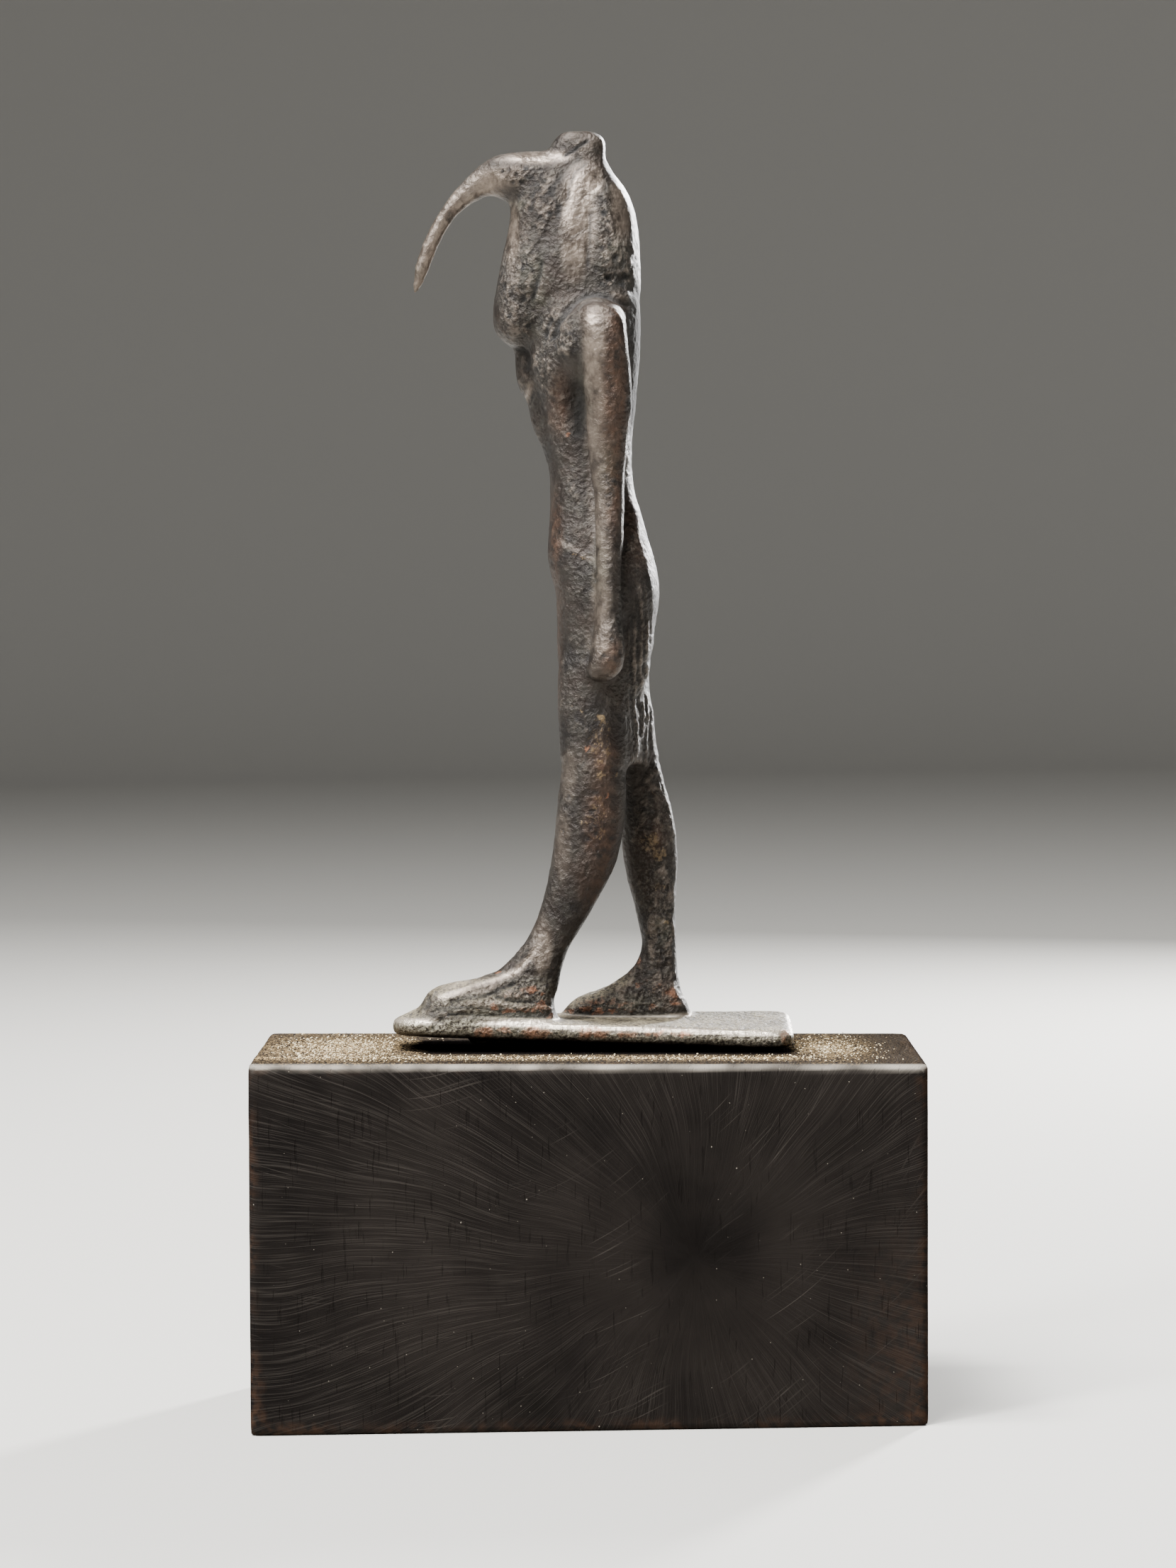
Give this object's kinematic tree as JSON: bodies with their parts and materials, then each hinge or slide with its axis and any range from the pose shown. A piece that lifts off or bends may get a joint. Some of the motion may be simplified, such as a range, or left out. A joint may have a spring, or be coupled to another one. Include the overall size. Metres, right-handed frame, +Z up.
{
  "type": "thoth figure",
  "caption": "Worn bronze statuette of a striding ibis-headed figure, cast in one with its thin base plate, on a dark rectangular wooden plinth.",
  "frame": {"origin": "middle of the plinth's underside", "axes": "+Z up; the figure faces -X, with its left side towards -Y"},
  "size_m": [0.0654, 0.033, 0.1253],
  "materials": {
    "patinated_bronze": "dark brown patinated cast bronze, satin where handled and pitted elsewhere",
    "dark_wood": "very dark stained wood, sanded and waxed, with fine scratches"
  },
  "bodies": {
    "root": {"thoth_figure": "patinated_bronze", "plinth": "dark_wood"}
  },
  "joints": []
}
